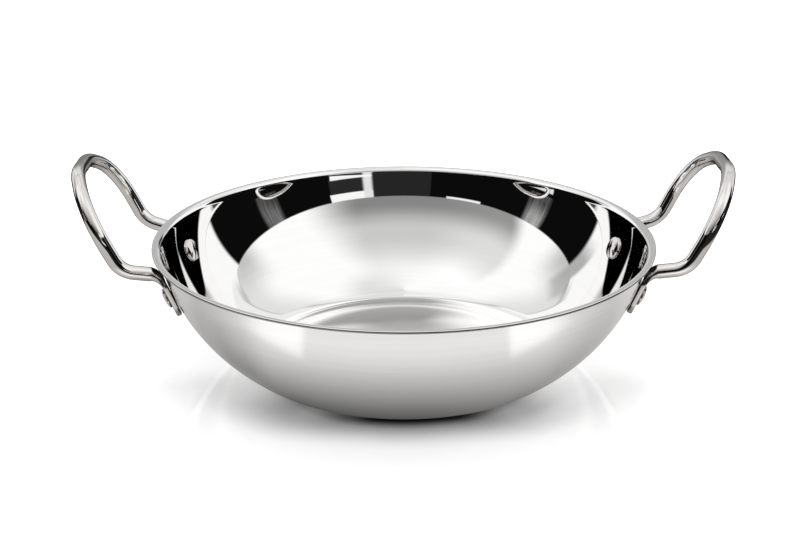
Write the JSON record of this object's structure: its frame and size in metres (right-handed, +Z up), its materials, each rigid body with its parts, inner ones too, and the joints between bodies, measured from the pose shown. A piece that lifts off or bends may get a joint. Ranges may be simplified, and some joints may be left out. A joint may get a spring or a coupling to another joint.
{
  "type": "kadai",
  "caption": "Shallow round steel cooking pan with a flat base, a curved flank, an outturned lip and raised rod loop handles riveted to its sides.",
  "frame": {"origin": "on the floor, under the middle of the flat base", "axes": "+X through the right handle, +Y away from the viewer of the picture, +Z up"},
  "size_m": [0.323, 0.25, 0.1053],
  "materials": {
    "bowl_steel": "stainless sheet, polished inside, fine satin outside",
    "handle_steel": "stainless rod, mirror polished",
    "rivet_steel": "stainless, polished heads"
  },
  "bodies": {
    "root": {"bowl": "bowl_steel", "left_handle": "handle_steel", "right_handle": "handle_steel", "left_front_rivet": "rivet_steel", "left_back_rivet": "rivet_steel", "right_front_rivet": "rivet_steel", "right_back_rivet": "rivet_steel"}
  },
  "joints": []
}
